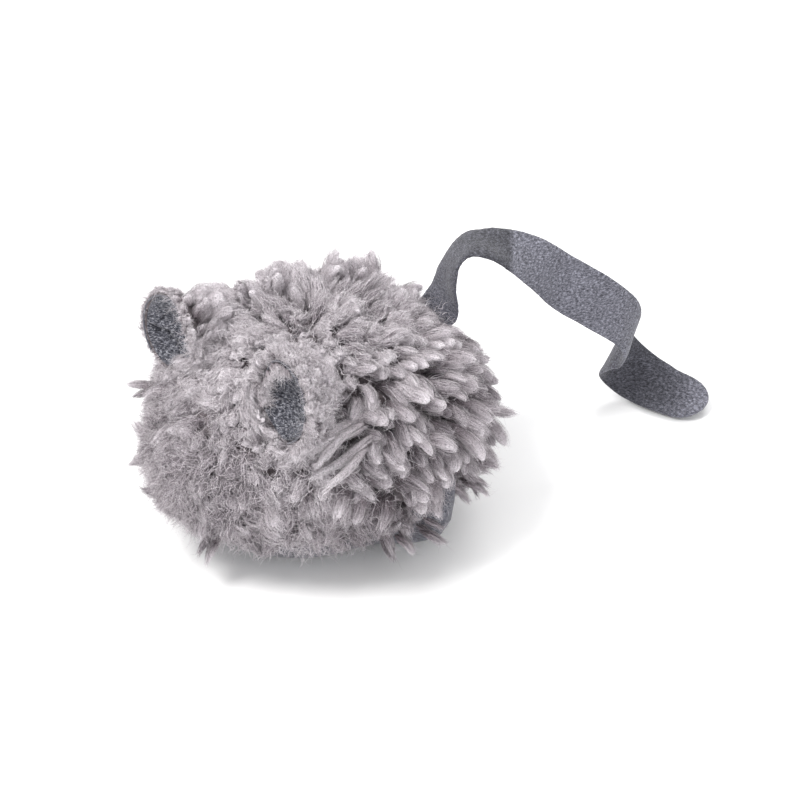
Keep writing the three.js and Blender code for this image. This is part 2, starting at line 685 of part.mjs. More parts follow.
const tailLoop = [];
const tailLoopRadius = POCKET_RADIUS - CLEARANCE - THREAD / 2;
const rootTangent = tailLine.getTangent(1 / (tailPlaces.length - 1));
const rootSide = X_AXIS.clone().cross(rootTangent).normalize();
for (let i = 0; i < loopSteps; i++) {
  const angle = (2 * Math.PI * i) / loopSteps;
  tailLoop.push(tailRoot.clone()
    .addScaledVector(X_AXIS, tailLoopRadius * Math.cos(angle))
    .addScaledVector(rootSide, tailLoopRadius * Math.sin(angle)));
}
addPiece("tail_root_thread", threadSolid(tailLoop, THREAD, true), greyThread);

export default mouse;
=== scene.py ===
import math
from collections import namedtuple

import bmesh
import bpy
import numpy as np
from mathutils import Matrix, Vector


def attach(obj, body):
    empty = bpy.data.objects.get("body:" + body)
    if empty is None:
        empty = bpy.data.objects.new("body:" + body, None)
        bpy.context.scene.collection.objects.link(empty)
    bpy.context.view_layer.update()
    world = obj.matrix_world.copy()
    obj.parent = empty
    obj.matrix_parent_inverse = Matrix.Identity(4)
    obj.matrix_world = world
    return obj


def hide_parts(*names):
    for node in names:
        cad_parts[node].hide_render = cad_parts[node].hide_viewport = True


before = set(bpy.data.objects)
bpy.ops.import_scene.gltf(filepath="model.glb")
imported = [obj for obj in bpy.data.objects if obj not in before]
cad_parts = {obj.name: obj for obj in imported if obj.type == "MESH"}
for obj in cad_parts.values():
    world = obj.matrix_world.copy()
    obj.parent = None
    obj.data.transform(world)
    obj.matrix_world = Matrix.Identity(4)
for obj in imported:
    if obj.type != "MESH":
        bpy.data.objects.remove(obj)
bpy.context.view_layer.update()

# Lengths are in millimetres in this file, and meshes are made in metres.
MM = .001
TAU = 2 * math.pi
scene = bpy.context.scene
rng = np.random.default_rng(11)

# The body's form, as in the source
HALF, SIDE, RISE, DROP, FULLEST = 48.5, 44.5, 35.0, 28.5, 27.0
LENGTH_ROUND, BACK_ROUND, BELLY_ROUND = 2.15, 2.15, 2.0
NOSE_NARROW, RUMP_NARROW, HEAD_DROP, RUMP_DROP = .3, .1, .3, .12
MIDDLE = np.array([0, 0, FULLEST])
PILE = 6.5
TUFTS, TUFT_REACH = 230, 9.5 / math.sqrt(3)

# The pile lies away from the crown, and x is above or below 0 on each side
CROWN = np.array([2, -4, 62])
HANDS = {"left": 1, "right": -1}

# Ears and tail, as in the source
EAR_RADIUS, EAR_BOWL, EAR_STEM, EAR_FELT, EAR_PLEAT = 9.0, 5.0, 2.4, 1.2, .45
TAIL_ROOT = np.array([0, 42.373, 41.249])
TAIL_WIDTH, TAIL_TAB, FLARE_START, FLARE_LENGTH = 15.5, 11.0, .5, 5.0
ARCH, DRIFT, REACH = 60.0, 38.5, 67.4

# Each ear's root, and the ways its height, its open face and its width go from there
Ear = namedtuple("Ear", "root up face across")
EARS = {
    "left": Ear(*np.array([[11.788, -22.157, 50.099], [.95106, 0, .30902],
                           [-.05366, -.98481, .16515], [.30432, -.17365, -.93661]])),
    "right": Ear(*np.array([[-11.788, -22.157, 50.099], [-.98481, 0, .17365],
                            [.01513, -.99619, .08583], [.17299, .08716, .98106]])),
}


# Vectors

def unit(v):
    return v / np.maximum(np.linalg.norm(v, axis=-1, keepdims=True), 1e-9)


def dot(a, b):
    return np.sum(a * b, axis=-1, keepdims=True)


def signed_power(x, e):
    return np.sign(x) * np.abs(x) ** e


def smooth(x, low, high):
    t = np.clip((x - low) / (high - low), 0, 1)
    return t * t * (3 - 2 * t)


class Wander:
    """A smooth random value over space, from -1 to 1 or so, with waves of about one length."""

    def __init__(self, wave):
        count = 14
        turn = unit(rng.normal(size=(count, 3)))
        self.wave = turn * (TAU / (wave * rng.uniform(.7, 1.5, (count, 1))))
        self.phase = rng.uniform(0, TAU, count)
        self.gain = 1.4 / math.sqrt(count)

    def __call__(self, places):
        return self.gain * np.sin(places @ self.wave.T + self.phase).sum(axis=-1)


# Meshes

def placed(name, mesh, material):
    """A new object in the scene for a mesh, with smooth faces."""
    mesh.polygons.foreach_set("use_smooth", np.ones(len(mesh.polygons), bool))
    mesh.materials.append(material)
    obj = bpy.data.objects.new(name, mesh)
    scene.collection.objects.link(obj)
    return obj


def mesh_object(name, places, quads, material, tris=(), uvs=None, uv_name="OFBake"):
    """A mesh object from arrays: places in mm, corners of the faces, and one UV for each corner."""
    mesh = bpy.data.meshes.new(name)
    quads = np.asarray(quads, np.int32).reshape(-1, 4)
    tris = np.asarray(tris, np.int32).reshape(-1, 3)
    corners = np.concatenate([quads.ravel(), tris.ravel()])
    starts = np.concatenate([np.arange(len(quads)) * 4, len(quads) * 4 + np.arange(len(tris)) * 3])
    mesh.vertices.add(len(places))
    mesh.vertices.foreach_set("co", (np.asarray(places) * MM).astype(np.float32).ravel())
    mesh.loops.add(len(corners))
    mesh.loops.foreach_set("vertex_index", corners)
    mesh.polygons.add(len(starts))
    mesh.polygons.foreach_set("loop_start", starts.astype(np.int32))
    if uvs is not None:
        layer = mesh.uv_layers.new(name=uv_name)
        layer.uv.foreach_set("vector", np.asarray(uvs, np.float32).ravel())
    mesh.update(calc_edges=True)
    mesh.validate()
    return placed(name, mesh, material)


def ring_quads(rings, sides):
    """The quads between closed rings of points that are numbered in order."""
    i, j = np.meshgrid(np.arange(rings - 1), np.arange(sides), indexing="ij")
    k = (j + 1) % sides
    return np.stack([i * sides + j, i * sides + k, (i + 1) * sides + k, (i + 1) * sides + j],
                    -1).reshape(-1, 4)


def shell(name, rings, ends, material, uvs=None):
    """A closed surface through rings of points, with a point past the first ring and past the last."""
    count, sides = rings.shape[:2]
    j = np.arange(sides)
    k = (j + 1) % sides
    last, tip = (count - 1) * sides, count * sides
    tris = np.stack([[j * 0 + tip, k, j], [j * 0 + tip + 1, last + j, last + k]]).swapaxes(1, 2)
    places = np.concatenate([rings.reshape(-1, 3), ends])
    return mesh_object(name, places, ring_quads(count, sides), material, tris, uvs, "strip_run")


def uv_quads(low, high, start, stop):
    """The UVs of quads that lie between two values across and two along."""
    low, high, start, stop = np.broadcast_arrays(low, high, start, stop)
    return np.stack([low, start, high, start, high, stop, low, stop], -1).reshape(-1, 2)


def spokes_round(count):
    """Angles evenly round a full turn."""
    return np.arange(count) * (TAU / count)


# Materials

def feed(material, node, inputs):
    """Sets a node's inputs to values or to the outputs of other nodes."""
    for name, value in inputs.items():
        if isinstance(value, bpy.types.NodeSocket):
            material.node_tree.links.new(value, node.inputs[name])
        else:
            node.inputs[name].default_value = value


def add(material, kind, **inputs):
    node = material.node_tree.nodes.new(kind)
    feed(material, node, inputs)
    return node


def paint(material, inputs):
    feed(material, material.node_tree.nodes["Principled BSDF"], inputs)
    return material


def new_material(name, roughness, sheen=0.0, sheen_roughness=.5, tint=(1, 1, 1, 1)):
    material = bpy.data.materials.new(name)
    material.use_nodes = True
    return paint(material, {
        "Roughness": roughness, "Specular IOR Level": .25, "Sheen Weight": sheen,
        "Sheen Roughness": sheen_roughness, "Sheen Tint": tint})


def uv_parts(material, name):
    """The ways across and up a UV map, as X and Y."""
    uv = add(material, "ShaderNodeUVMap")
    uv.uv_map = name
    return add(material, "ShaderNodeSeparateXYZ", Vector=uv.outputs["UV"]).outputs


def ramp(material, source, stops):
    """A colour ramp over a value, with stops of a place and a colour or a grey."""
    node = add(material, "ShaderNodeValToRGB", Fac=source)
    elements = node.color_ramp.elements
    while len(elements) < len(stops):
        elements.new(.5)
    for element, (place, colour) in zip(elements, stops):
        element.position = place
        element.color = (*colour, 1) if hasattr(colour, "__len__") else (colour, colour, colour, 1)
    return node.outputs["Color"]


def product(material, colour, *others):
    """The product of colours. The mix node's sockets go by number, as their names repeat."""
    factor, first, second, result = 0, 6, 7, 2
    for other in others:
        node = add(material, "ShaderNodeMix")
        node.data_type, node.blend_type = "RGBA", "MULTIPLY"
        feed(material, node, {factor: 1.0, first: colour, second: other})
        colour = node.outputs[result]
    return colour


def noise(material, scale, detail, roughness=.6, stretch=None):
    """A noise over the object's own places, with scale in waves per metre."""
    place = add(material, "ShaderNodeTexCoord").outputs["Object"]
    if stretch is not None:
        place = add(material, "ShaderNodeMapping", Vector=place, Scale=stretch).outputs["Vector"]
    return add(material, "ShaderNodeTexNoise", Vector=place, Scale=scale, Detail=detail,
               Roughness=roughness).outputs["Fac"]


def mottled(material, stops, *pattern):
    """A colour ramp over a noise."""
    return ramp(material, noise(material, *pattern), stops)


def bump(material, scale, detail, distance, strength=1.0, roughness=.6, **below):
    """The normal over a noise, which may stand on the normal of another bump below."""
    return add(material, "ShaderNodeBump", Height=noise(material, scale, detail, roughness),
               Distance=distance, Strength=strength, **below).outputs["Normal"]


def pile_material():
    """Plush pile. Across its UV goes a lock's shade, part its own colour and part painted light and
    shade, and up it the way from root to tip, dark at the root as painted shade.
    """
    material = new_material("plush_pile", .82, .55, .45, (1, .97, .98, 1))
    uv = uv_parts(material, "OFBake")
    # Painted shade: each lock is dark at its root, where shade falls between the locks, and pale at its
    # tip.
    along = ramp(material, uv["Y"], [
        (0, (.13, .10, .112)), (.3, (.28, .235, .258)), (.55, (.54, .49, .52)),
        (.8, (.76, .71, .745)), (1, (.92, .875, .91))])
    shade = ramp(material, uv["X"], [
        (0, (.27, .25, .265)), (.3, (.66, .64, .655)), (.55, (.92, .91, .92)), (.8, (1, 1, 1))])
    grain = mottled(material, [(.34, .32), (.5, .84), (.64, 1.0)], 2300, 4, .7)
    return paint(material, {"Base Color": product(material, along, shade, grain),
                            "Normal": bump(material, 3000, 3, .0002, .8)})


def ground_material():
    """The knitted backing that the pile stands on, made dark as painted shade between the locks."""
    material = new_material("plush_ground", .95, .2)
    patches = mottled(material, [(.3, (.14, .115, .12)), (.7, (.26, .22, .235))], 260, 4)
    knit = mottled(material, [(.3, .6), (.7, 1.0)], 1500, 3)
    return paint(material, {"Base Color": product(material, patches, knit),
                            "Normal": bump(material, 1400, 3, .0004)})


def felt_material(name, dark, light, fleck, painted_shade_along=None):
    """Felt of dark and light fibres pressed together. It may be painted lighter and darker along a
    strip, as painted light and shade.
    """
    material = new_material(name, .92, .25, .4)
    cloud = mottled(material, [(.3, .86), (.7, 1.0)], 220, 3)
    fibres = mottled(material, [(.36, dark), (.52, light), (.68, fleck)], 1250, 6, .75, (1, 1, 2.4))
    cross = mottled(material, [(.35, .6), (.65, 1.0)], 900, 4, .7, (1, 1.3, 4))
    colour = product(material, fibres, cloud, cross)
    # Painted light and shade along the strip, read from its UV.
    if painted_shade_along is not None:
        colour = product(material, colour, ramp(material, uv_parts(material, "strip_run")["Y"], painted_shade_along))
    coarse = bump(material, 1200, 4, .00035, .8, .7)
    fine = bump(material, 4200, 2, .00012, .7, Normal=coarse)
    return paint(material, {"Base Color": colour, "Normal": fine})


def thread_material(name, dark, light):
    """Twisted thread."""
    material = new_material(name, .6, .2)
    strands = mottled(material, [(.3, dark), (.7, light)], 3000, 2, .5, (1, 1, 3))
    return paint(material, {"Base Color": strands, "Normal": bump(material, 3500, 2, .0001)})


def stuff_material(name, dark, light, scale):
    """What is inside, in two colours."""
    material = new_material(name, .9)
    blend = mottled(material, [(.3, dark), (.7, light)], scale, 5, .7)
    return paint(material, {"Base Color": blend, "Normal": bump(material, scale * 2, 3, .0004)})


# Pile

# A lock's middle line is worked out in steps, of which one length of the lock takes PER_LENGTH
STEPS, PER_LENGTH = 26, 20
REACHED = np.arange(STEPS) / PER_LENGTH
PETAL_RINGS = np.array([0, .14, .28, .42, .56, .69, .8, .89, .96, 1.0])
PETAL_SIDES = 12
PETAL_END = ((0, 3, 6, 9), (0, 1, 2, 3), (3, 4, 5, 6), (6, 7, 8, 9), (9, 10, 11, 0))
# The share of a lock's width along it, where it ends round and where it ends in a point
ROUND_END = [0, .25, .5, .75, .88, .95, 1, 1.3], [.5, .8, .97, 1, .86, .62, .28, .2]
SHARP_END = [0, .25, .45, .65, .8, .92, 1, 1.3], [.55, .95, 1, .84, .6, .34, .1, .05]
HOLLOW = .22
STRAND_WIDTH, FRIZZ_WIDTH, FRIZZ_LENGTH = .12, .07, 3.0
# The pile's UV: a shade across, in slivers as wide as this, and the way from root to tip along, which
# sets the painted shade at the roots
UV_WIDTH, UV_SHADES, UV_TIP = .0016, .8, (.985, .999)
LOWEST_HAIR = .3


class Locks:
    """Locks of pile. Each leaves the skin at the angle rise from the normal and bends over to the angle
    lay, both in degrees. It is blunt at 1 and pointed at 0, and pale at 1 from its root on, which lifts
    the painted shade at its root."""

    def __init__(self, root, normal, flow, length, width, rise, lay, curl, thick, blunt, shade, roll,
                 fuzz, pale):
        count = len(root)

        def fill(value):
            return np.full(count, value, float)

        normal = unit(normal)
        flow = unit(flow - dot(flow, normal) * normal)
        self.root = root
        self.length = fill(length) * rng.uniform(.82, 1.18, count)
        self.width = fill(width) * rng.uniform(.72, 1.3, count) / 2
        self.thick = fill(thick) * rng.uniform(.8, 1.25, count)
        rise = np.radians(rng.normal(fill(rise), 9))
        lay = np.radians(rng.normal(fill(lay), 11))
        curl = np.radians(rng.normal(0, 1, count) * fill(curl))
        self.blunt = np.clip(rng.normal(fill(blunt), .3), 0, 1)
        self.shade = np.clip(rng.normal(fill(shade), .17), .02, .97)
        roll = np.radians(rng.normal(0, 1, count) * fill(roll))
        self.fuzz, self.pale = fill(fuzz), fill(pale)
        self.follow(normal, flow, rise, lay, curl, roll)

    def follow(self, normal, flow, rise, lay, curl, roll):
        """Sets each lock's middle line and the ways ahead, across and out of its face along it."""
        s = REACHED[None, :]
        tilt = (rise[:, None] + (lay - rise)[:, None] * np.minimum(s, 1.1) ** .85)[..., None]
        wave = (curl[:, None] * s ** 1.5 + .12 * np.sin(s * 7 + self.root[:, :1]))[..., None]
        side = np.cross(normal, flow)[:, None]
        normal, flow = normal[:, None], flow[:, None]
        lean = np.cos(wave) * flow + np.sin(wave) * side
        ahead = np.cos(tilt) * normal + np.sin(tilt) * lean
        step = (ahead[:, 1:] + ahead[:, :-1]) / 2 * (self.length[:, None, None] / PER_LENGTH)
        line = np.concatenate([np.zeros((self.count, 1, 3)), np.cumsum(step, axis=1)], axis=1)
        face = unit(np.sin(tilt) * normal - np.cos(tilt) * lean)
        across = unit(np.cross(ahead, face))
        turn = roll[:, None, None] * (.4 + .6 * s[..., None])
        self.line = self.root[:, None] + line
        self.across = np.cos(turn) * across + np.sin(turn) * face
        self.face = np.cos(turn) * face - np.sin(turn) * across
        self.ahead = ahead

    @property
    def count(self):
        return len(self.root)

    def pick(self, row):
        """The locks of these rows, which may repeat."""
        other = object.__new__(Locks)
        for name, values in vars(self).items():
            setattr(other, name, values[row])
        return other

    def where(self, chosen):
        """The locks that are chosen, one True or False for each."""
        return self.pick(np.flatnonzero(chosen))

    def at(self, values, s):
        """Values along the locks, read at s, an array of one row for each lock."""
        place = np.clip(s * PER_LENGTH, 0, STEPS - 1.001)
        low = place.astype(int)
        part = (place - low)[..., None]
        row = np.arange(self.count)[:, None]
        return values[row, low] * (1 - part) + values[row, low + 1] * part

    def profile(self, s):
        sharp, blunt = np.interp(s, *SHARP_END), np.interp(s, *ROUND_END)
        return sharp + (blunt - sharp) * self.blunt.reshape(-1, *[1] * (s.ndim - 1))

    def petals(self, core):
        """The closed core of each lock, fluted, with its share of the lock's width."""
        rings, sides = len(PETAL_RINGS), PETAL_SIDES
        s = np.broadcast_to(PETAL_RINGS, (self.count, rings))
        theta = spokes_round(sides)
        p, q = rng.uniform(0, 6.28, (2, self.count, 1, 1))
        flute = 1 + .13 * np.cos(5 * theta + p + 1.4 * s[..., None]) + .06 * np.cos(3 * theta + q)
        size = core * self.profile(s)[..., None] * self.width[:, None, None] * flute
        size = size * (1 - .12 * s[..., None])
        wide = size * np.cos(theta)
        deep = size * np.sin(theta) * self.thick[:, None, None]
        deep = deep - HOLLOW * size * np.cos(theta) ** 2 * s[..., None]
        reached = s * (1 - .4 * self.fuzz[:, None])
        line, across, face = (
            self.at(v, reached)[:, :, None] for v in (self.line, self.across, self.face))
        places = line + across * wide[..., None] + face * deep[..., None]
        rough = (.3 * self.fuzz + .02)[:, None, None, None]
        places = places + rng.normal(0, 1, places.shape) * rough
        base = (np.arange(self.count) * rings * sides)[:, None, None]
        quads = (base + ring_quads(rings, sides)[None]).reshape(-1, 4)
        end = base[:, 0] + (rings - 1) * sides
        caps = [np.stack([end + a for a in corners], -1).reshape(-1, 4) for corners in PETAL_END]
        pale = self.pale[:, None, None]
        painted_shade_along = np.clip(pale + (1 - pale) * PETAL_RINGS[:, None], .002, .999)
        shade = self.shade * UV_SHADES
        low, tip = shade[:, None, None] + .02 * np.arange(sides) / sides, np.tile(shade, len(PETAL_END))
        uvs = np.concatenate([uv_quads(low, low + UV_WIDTH, painted_shade_along[:, :-1], painted_shade_along[:, 1:]),
                              uv_quads(tip, tip + UV_WIDTH, *UV_TIP)])
        return places.reshape(-1, 3), np.concatenate([quads, *caps]), uvs

    def strands(self, per_lock):
        """Fine fibres that lie along each lock and run a little past its tip."""
        points, past_tip, spread, lift = 6, .05, .5, .55
        picked = self.pick(np.repeat(np.arange(self.count), per_lock))
        total = picked.count
        thick, fuzz = picked.thick[:, None], picked.fuzz[:, None]
        theta = rng.uniform(0, TAU, total)
        in_front = rng.uniform(size=total) < .8
        theta = np.where(in_front, math.pi * rng.uniform(-.04, 1.04, total), theta)[:, None]
        start = rng.uniform(0, .5, total)[:, None]
        stop = rng.uniform(.72, 1 + past_tip, total)[:, None]
        s = start + (stop - start) * np.linspace(0, 1, points)[None]
        size = np.maximum(picked.profile(s), spread * smooth(s, .3, .9)) * picked.width[:, None]
        gap = rng.uniform(.9, 1.22, (total, 1)) + rng.normal(0, .14, (total, 1)) * s
        sway = theta + rng.normal(0, .35, (total, 1)) * s + .12 * np.sin(9 * s + theta * 7)
        wide = size * gap * np.cos(sway)
        deep = size * gap * np.sin(sway) * thick - HOLLOW * size * np.cos(sway) ** 2 * s
        deep = deep + lift * rng.uniform(0, 1, (total, 1)) ** 3 * s
        line, across, face, ahead = (
            picked.at(v, s) for v in (picked.line, picked.across, picked.face, picked.ahead))
        out = unit(across * np.cos(sway)[..., None] + face * np.sin(sway)[..., None])
        places = line + across * wide[..., None] + face * deep[..., None]
        places = places + rng.normal(0, .07, places.shape)
        beat = np.sin(s * rng.uniform(5, 12, (total, 1)) + rng.uniform(0, 6.28, (total, 1))) * s
        waves = unit(rng.normal(size=(total, 1, 3))) * (1.5 * fuzz * beat)[..., None]
        shade = np.clip(picked.shade + .04 + rng.normal(0, .34, total), .01, .98)
        painted_shade_along = picked.pale[:, None] + (1 - picked.pale[:, None]) * s
        return ribbons(places + waves, unit(np.cross(ahead, out)), STRAND_WIDTH, shade, painted_shade_along)

    def frizz(self, per_lock):
        """Single curly hairs that stand off the locks."""
        points = 5
        picked = self.pick(np.repeat(np.arange(self.count), per_lock))
        total = picked.count
        s0 = rng.uniform(.35, .95, (total, 1))
        start, across, face, ahead = (
            picked.at(v, s0)[:, 0] for v in (picked.line, picked.across, picked.face, picked.ahead))
        away = unit(face * rng.uniform(.2, .9, (total, 1)) + ahead * rng.uniform(.2, 1, (total, 1))
                    + across * rng.normal(0, .7, (total, 1)))
        bend = unit(rng.normal(size=(total, 3)))
        size = rng.uniform(.5, 1.2, (total, 1, 1)) * FRIZZ_LENGTH
        places = curly(start, away, bend, size, points, rate=5, bow=.45, swing=.1)
        shade = np.clip(picked.shade + rng.uniform(0, .3, total), .01, .98)
        painted_shade_along = .55 + .45 * np.broadcast_to(np.linspace(0, 1, points), (total, points))
        flat = np.broadcast_to(unit(np.cross(away, face))[:, None], places.shape)
        return ribbons(places, flat, FRIZZ_WIDTH, shade, painted_shade_along)

    def parts(self, strands, frizz, core):
        """The locks' cores, and so many strands and loose hairs for each lock."""
        return [self.petals(core), self.strands(strands), self.frizz(frizz)]


def curly(start, away, bend, size, points, rate, bow, swing):
    """The middle lines of single curly hairs."""
    t = np.linspace(0, 1, points)[None, :, None]
    places = start[:, None] + away[:, None] * t * size + bend[:, None] * t ** 2 * size * bow
    return places + np.cross(away, bend)[:, None] * np.sin(t * rate) * size * swing


def ribbons(places, across, width, shade, painted_shade_along):
    """Flat tapering fibres through rows of points."""
    total, points = places.shape[:2]
    t = np.linspace(0, 1, points)
    half = (width / 2 * (1 - .75 * t ** 2))[None, :, None] * rng.uniform(.7, 1.35, (total, 1, 1))
    both = np.stack([places - across * half, places + across * half], axis=2).reshape(-1, 3)
    base = (np.arange(total) * points * 2)[:, None]
    k = np.arange(points - 1) * 2
    quads = np.stack([base + k, base + k + 1, base + k + 3, base + k + 2], -1).reshape(-1, 4)
    low = shade[:, None]
    start, stop = np.clip(painted_shade_along[:, :-1], 0, UV_TIP[0]), np.clip(painted_shade_along[:, 1:], .005, UV_TIP[1])
    return both, quads, uv_quads(low, low + UV_WIDTH, start, stop)


def pile_object(name, body, parts, material):
    """One object from the parts of locks, riding on a body."""
    places, quads, uvs, start = [], [], [], 0
    for part_places, part_quads, part_uvs in parts:
        places.append(part_places)
        quads.append(part_quads + start)
        uvs.append(part_uvs)
        start += len(part_places)
    places = np.concatenate(places)
    places[:, 2] = np.maximum(places[:, 2], LOWEST_HAIR)
    obj = mesh_object(name, places, np.concatenate(quads), material, uvs=np.concatenate(uvs))
    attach(obj, body)


# Body

def body_form(a, r, grow=0.0):
    """Places on the body's form: a goes from 0 at the nose to pi at the rump, and r goes round it."""
    s = -signed_power(np.cos(a), 2 / LENGTH_ROUND)
    reach = np.abs(np.sin(a)) ** (2 / LENGTH_ROUND)
    front, above = s < 0, np.sin(r) > 0
    narrow = 1 - np.where(front, NOSE_NARROW, RUMP_NARROW) * s * s
    low = 1 - np.where(front, HEAD_DROP, RUMP_DROP) * s * s
    e = np.where(above, BACK_ROUND, BELLY_ROUND)
    up = np.where(above, (RISE + grow) * low, DROP + grow)
    x = (SIDE + grow) * narrow * reach * signed_power(np.cos(r), 2 / e)
    z = FULLEST + up * reach * signed_power(np.sin(r), 2 / e)
    return np.stack(np.broadcast_arrays(x, (HALF + grow) * s, z), -1)


def scattered(gap, tries, lowest=3.2):
    """Points spread evenly over the body's form with a gap between them, and the normals there."""
    a = np.linspace(.02, math.pi - .02, 161)
    r = np.linspace(0, TAU, 241)
    grid = body_form(a[:, None], r[None])
    along, across = grid[1:, :-1] - grid[:-1, :-1], grid[:-1, 1:] - grid[:-1, :-1]
    normal = np.cross(across, along)
    area = np.linalg.norm(normal, axis=-1).ravel()
    i, j = np.unravel_index(rng.choice(len(area), tries, p=area / area.sum()), normal.shape[:2])
    u, v = rng.uniform(size=(2, tries, 1))
    points = grid[i, j] + u * along[i, j] + v * across[i, j]
    normals = unit(normal[i, j])
    normals = normals * np.sign(dot(normals, points - MIDDLE))
    keep, kept = [], np.full((1, 3), np.inf)
    for k in np.flatnonzero(points[:, 2] >= lowest):
        if np.min(np.sum((kept - points[k]) ** 2, axis=1)) >= gap * gap:
            keep.append(k)
            kept = points[keep]
    return points[keep], normals[keep]


def from_tufts(points):
    """How far points are from the nearest middle of a tuft of the source, where the middles lie evenly
    over the form, a golden turn apart."""
    k = np.arange(TUFTS)
    a = np.arccos(np.clip(-signed_power(2 * k / (TUFTS - 1) - 1, LENGTH_ROUND / 2), -1, 1))
    tufts = body_form(a, np.mod(k * math.pi * (3 - math.sqrt(5)), TAU))
    return np.linalg.norm(points[:, None] - tufts[None], axis=2).min(axis=1)


def beside(points, start, end):
    """How far points are from a straight piece of line."""
    start, end = np.array([start, end], float)
    along = end - start
    t = np.clip((points - start) @ along / (along @ along), 0, 1)
    return np.linalg.norm(points - start - t[:, None] * along, axis=1)


def near(points, middle, reach):
    """1 at a middle and fading to 0 at about one and a half times the reach."""
    return np.exp(-np.sum(((points - middle) / reach) ** 2, axis=1))


def in_bowl(ear, lines, low, high, half, behind, ahead, bow=0.0):
    """Which lines enter the block before an ear that is kept open, with a lower edge that may bow."""
    q = lines - ear.root
    up, across, face = q @ ear.up, q @ ear.across, q @ ear.face
    inside = (up > low + bow * across ** 2) & (up < high) & (np.abs(across) < half)
    return (inside & (face > behind) & (face < ahead)).any(axis=1)


def clear_of_ears(locks):
    """Which locks leave the bowls of the ears open."""
    line, top = locks.line[:, 2:22], EAR_STEM + 18
    return ~(in_bowl(EARS["left"], line, EAR_STEM + 7, top, 8.6, -4.5, 7, .035)
             | in_bowl(EARS["right"], line, EAR_STEM + 5, top, 8.6, -4.5, 7))


def clear_of_felt(locks):
    """Which locks leave the tail's root and the turned-up edge of the belly panel open."""
    parting = np.concatenate([np.linspace((0, 43, 43), (9, 37, 51), 8),
                              np.linspace((7, 43, 41), (16, 36, 47.5), 8)])
    edge = np.linspace((44.5, 12, 22), (43, 11, 9), 6)
    from_parting, from_edge = (
        np.linalg.norm(locks.line[:, first:22:2, None] - felt, axis=-1).min(axis=(1, 2))
        for first, felt in ((4, parting), (2, edge)))
    return (from_parting > np.minimum(4.6, .42 * locks.length)) & (from_edge > 2.5)


def spikes():
    """The thin pointed tufts that stand out low at the sides: where, and which way."""
    tufts = np.array([
        [[37, -4, 14.5], [.75, .3, -.55]], [[36, -8, 15], [.75, .1, -.6]],
        [[38, 3, 13], [.75, .5, -.45]], [[38, 18, 20], [.8, .6, -.3]],
        [[37.5, 20, 24], [.8, .6, -.1]], [[38, 14, 27], [.8, .55, -.3]],
        [[-12, -39, 26], [-.65, -.75, -.2]], [[-26, -29, 35], [-.75, -.65, 0]],
        [[9, -37, 14], [.1, -.8, -.5]]])
    root, ahead = np.repeat(tufts, 3, axis=0).swapaxes(0, 1)
    root, ahead = rng.normal(root, .8), rng.normal(ahead, .12)
    return Locks(root, ahead, np.array([0, 0, -1]) + 0 * root, length=7.4, width=2.4, rise=-10, lay=30,
                 curl=20, thick=.6, blunt=.25, shade=.45, roll=20, fuzz=.16, pale=.1)


def crest_tufts():
    """The wavy tufts that stand up along the crown."""
    middle = np.array([[-14.5, .4, 56], [-14.9, 8.9, 55.5], [-13, 16.9, 54], [-11, 22, 53],
                       [-9, 27, 52], [-16, -4, 55]])
    root = np.repeat(middle, 5, axis=0)
    root = root + rng.normal(0, 1.5, root.shape) * [1, 1, .3]
    normal = rng.normal([-.2, .15, 1], .12, root.shape)
    flow = rng.normal(np.repeat(rng.normal(0, 1, middle.shape), 5, axis=0), .5)
    # The crest's locks are given a pale shade, which paints light on the top of the body.
    return Locks(root, normal, flow, length=8.0, width=4.2, rise=4, lay=42, curl=40, thick=.7,
                 blunt=.85, shade=.8, roll=30, fuzz=.28, pale=.42)


def sweep():
    """The long pale lock that is brushed forward under the left ear."""
    shape = (9, 3)
    root = np.array([34.5, -10.5, 46]) + rng.normal(0, 1, shape) * [1.2, 2.2, 1.8]
    normal, flow = rng.normal([.71, -.35, .60], .08, shape), rng.normal([-6, -14, -7], 1.6, shape)
    return Locks(root, normal, flow, length=17.5, width=1.7, rise=60, lay=101, curl=22, thick=.6,
                 blunt=.1, shade=.97, roll=20, fuzz=.34, pale=.45)


